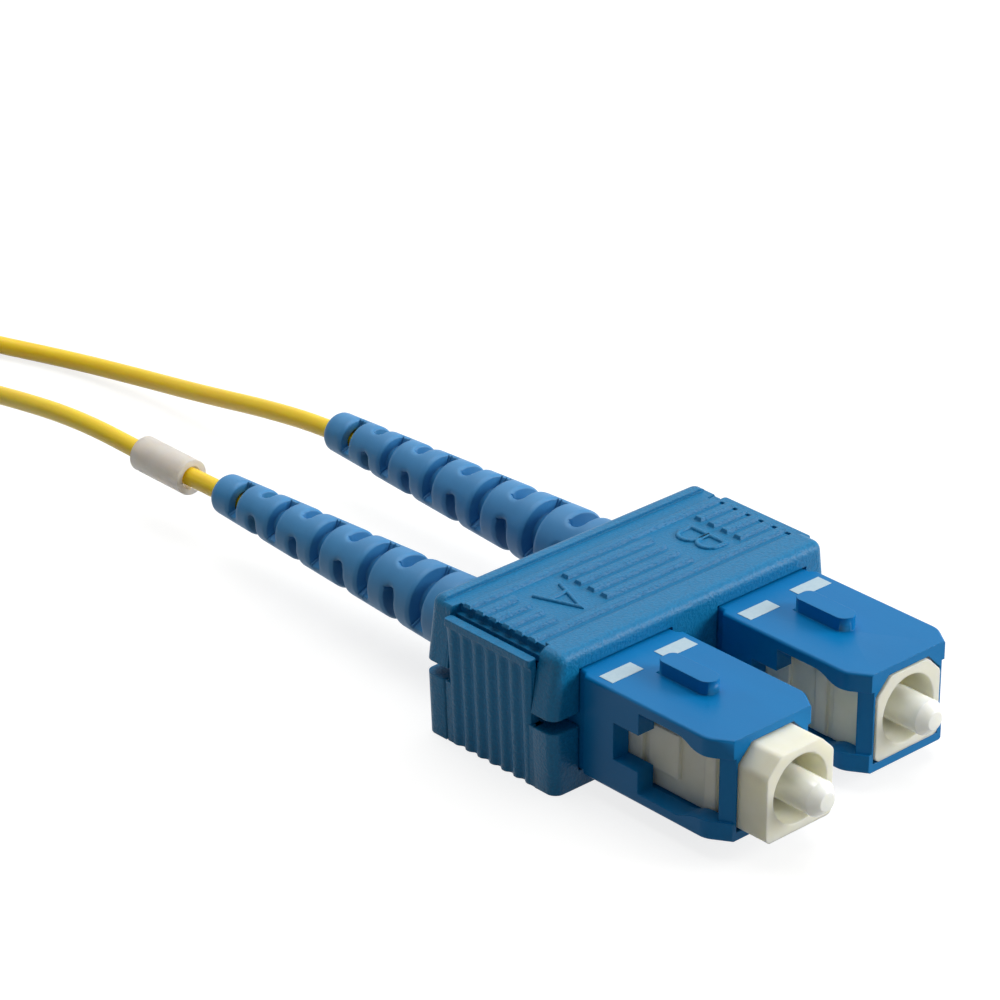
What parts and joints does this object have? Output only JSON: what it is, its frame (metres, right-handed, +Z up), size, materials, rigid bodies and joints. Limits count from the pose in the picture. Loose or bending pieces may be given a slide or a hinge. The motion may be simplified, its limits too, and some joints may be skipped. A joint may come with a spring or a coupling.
{
  "type": "duplex sc fibre connector",
  "caption": "Duplex fibre-optic plug: blue push-pull housings held side by side by a snap clip, with white ceramic ferrules, slotted boots and yellow cables coiled to plugs at their far ends",
  "frame": {"origin": "Middle of the clip's flat underside, on the floor", "axes": "+X across the plugs from plug A to plug B, +Y from the ferrules back along the cables, +Z up, the side with the key ribs"},
  "size_m": [0.0453, 0.1548, 0.0171],
  "materials": {
    "clip_plastic": "spark-eroded matt moulding, teal blue",
    "housing_plastic": "smooth satin moulding, blue",
    "frame_plastic": "satin moulding, ivory",
    "zirconia": "ground and polished ceramic, white",
    "flange_metal": "turned stainless steel",
    "spring_steel": "drawn spring wire",
    "stop_metal": "nickel-plated turned brass",
    "crimp_metal": "annealed tube, crimped",
    "buffer_coating": "tight buffer, white",
    "boot_rubber": "matt moulded elastomer, blue",
    "jacket": "extruded jacket, yellow",
    "marker_vinyl": "translucent milky tube"
  },
  "bodies": {
    "clip_and_housings": {"clip_bottom_shell": "clip_plastic", "clip_top_shell": "clip_plastic", "grip_housing_a": "housing_plastic", "grip_housing_b": "housing_plastic"},
    "plug_a": {"plug_frame_a": "frame_plastic", "rear_body_a": "stop_metal", "crimp_sleeve_a": "crimp_metal", "cable_end_a": "jacket", "boot_a": "boot_rubber", "ferrule_spring_a": "spring_steel", "cable_a": "jacket", "coil_a": "jacket", "cable_tail_a": "jacket", "far_grip_a": "housing_plastic", "far_frame_a": "frame_plastic", "far_boot_a": "boot_rubber", "far_ferrule_a": "zirconia", "marker_sleeve_a": "marker_vinyl"},
    "floating_ferrule_a": {"ferrule_a": "zirconia", "ferrule_flange_a": "flange_metal", "buffered_fibre_a": "buffer_coating"},
    "plug_b": {"plug_frame_b": "frame_plastic", "rear_body_b": "stop_metal", "crimp_sleeve_b": "crimp_metal", "cable_end_b": "jacket", "boot_b": "boot_rubber", "ferrule_spring_b": "spring_steel", "cable_b": "jacket", "coil_b": "jacket", "cable_tail_b": "jacket", "far_grip_b": "housing_plastic", "far_frame_b": "frame_plastic", "far_boot_b": "boot_rubber", "far_ferrule_b": "zirconia"},
    "floating_ferrule_b": {"ferrule_b": "zirconia", "ferrule_flange_b": "flange_metal", "buffered_fibre_b": "buffer_coating"}
  },
  "joints": [
    {"name": "plug_a_slide", "type": "slide", "parent": "clip_and_housings", "child": "plug_a", "axis": [0, 1, 0], "range_m": [0, 0.0024]},
    {"name": "ferrule_a_float", "type": "slide", "parent": "plug_a", "child": "floating_ferrule_a", "axis": [0, 1, 0], "range_m": [0, 0.001], "stiffness_N_per_m": 5000, "deforming": ["ferrule_spring_a"]},
    {"name": "plug_b_slide", "type": "slide", "parent": "clip_and_housings", "child": "plug_b", "axis": [0, 1, 0], "range_m": [-0.0024, 0]},
    {"name": "ferrule_b_float", "type": "slide", "parent": "plug_b", "child": "floating_ferrule_b", "axis": [0, 1, 0], "range_m": [0, 0.001], "stiffness_N_per_m": 5000, "deforming": ["ferrule_spring_b"]}
  ]
}
